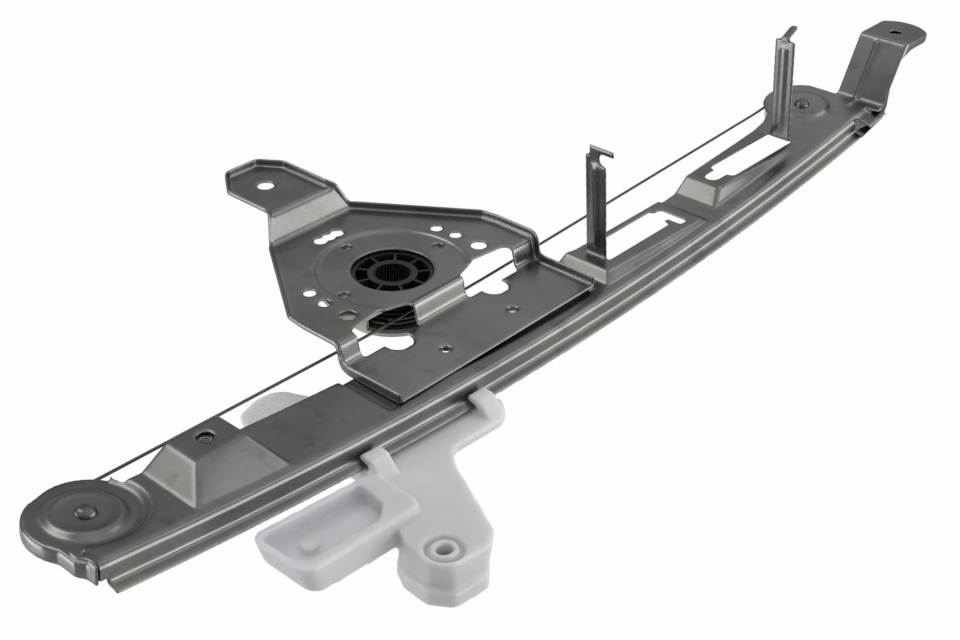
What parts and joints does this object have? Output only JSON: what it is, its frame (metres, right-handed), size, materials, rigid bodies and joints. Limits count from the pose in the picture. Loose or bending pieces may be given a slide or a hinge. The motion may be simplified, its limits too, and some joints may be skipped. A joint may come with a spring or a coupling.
{
  "type": "window regulator",
  "caption": "Cable window regulator: arched pressed rail with a motor plate, cable drum, end pulleys and a sliding glass carrier.",
  "frame": {"origin": "the drum's axis on the seat face of the motor plate", "axes": "+X along the rail to the upper mount, +Y across it towards the plate's arm, +Z out of the motor plate, towards the motor"},
  "size_m": [0.6468, 0.2833, 0.1099],
  "materials": {
    "rail_steel": "galvanised, satin",
    "plate_steel": "galvanised, satin",
    "drum_plastic": "moulded, satin",
    "retainer_plastic": "moulded, satin",
    "slider_plastic": "moulded, translucent, satin",
    "pulley_plastic": "moulded, satin",
    "cable_steel": "stranded wire",
    "pin_steel": "turned, zinc plated",
    "nipple_zinc": "cast zinc",
    "spring_steel": "drawn wire"
  },
  "bodies": {
    "frame": {"rail": "rail_steel", "motor_plate": "plate_steel", "drum_retainer": "retainer_plastic", "lower_pulley_pin": "pin_steel", "upper_pulley_pin": "pin_steel", "lower_pulley_washer": "pin_steel", "upper_pulley_washer": "pin_steel", "lower_mount_nut": "pin_steel", "upper_mount_nut": "pin_steel", "lower_cable": "cable_steel", "upper_cable": "cable_steel"},
    "slider": {"slider_body": "slider_plastic", "spring_cup": "pin_steel", "cable_tension_spring": "spring_steel", "lower_cable_nipple": "nipple_zinc", "upper_cable_nipple": "nipple_zinc", "glass_clamp_nut": "pin_steel"},
    "drum": {"cable_drum": "drum_plastic", "drum_windings": "cable_steel", "lower_drum_nipple": "nipple_zinc", "upper_drum_nipple": "nipple_zinc"},
    "lower_pulley": {"lower_pulley": "pulley_plastic"},
    "upper_pulley": {"upper_pulley": "pulley_plastic"}
  },
  "joints": [
    {"name": "slider_travel", "type": "hinge", "parent": "frame", "child": "slider", "pos_m": [0.0587, 0, 1.9303], "axis": [0, -1, 0], "range_deg": [-2.5, 8.8]},
    {"name": "drum_spin", "type": "hinge", "parent": "frame", "child": "drum", "pos_m": [0, 0, 0], "axis": [0, 0, 1], "range_deg": [-800, 230]},
    {"name": "lower_pulley_spin", "type": "hinge", "parent": "frame", "child": "lower_pulley", "pos_m": [-0.22315, -0.0522, 0.00017], "axis": [0.1445, 0, 0.9895], "range_deg": [-225, 785]},
    {"name": "upper_pulley_spin", "type": "hinge", "parent": "frame", "child": "upper_pulley", "pos_m": [0.31774, -0.0499, -0.0005], "axis": [-0.133, 0, 0.9911], "range_deg": [-225, 785]}
  ],
  "couplings": [
    {"joint": "drum_spin", "follows": "slider_travel", "ratio": -90.37},
    {"joint": "lower_pulley_spin", "follows": "slider_travel", "ratio": 88.727},
    {"joint": "upper_pulley_spin", "follows": "slider_travel", "ratio": 88.727}
  ]
}
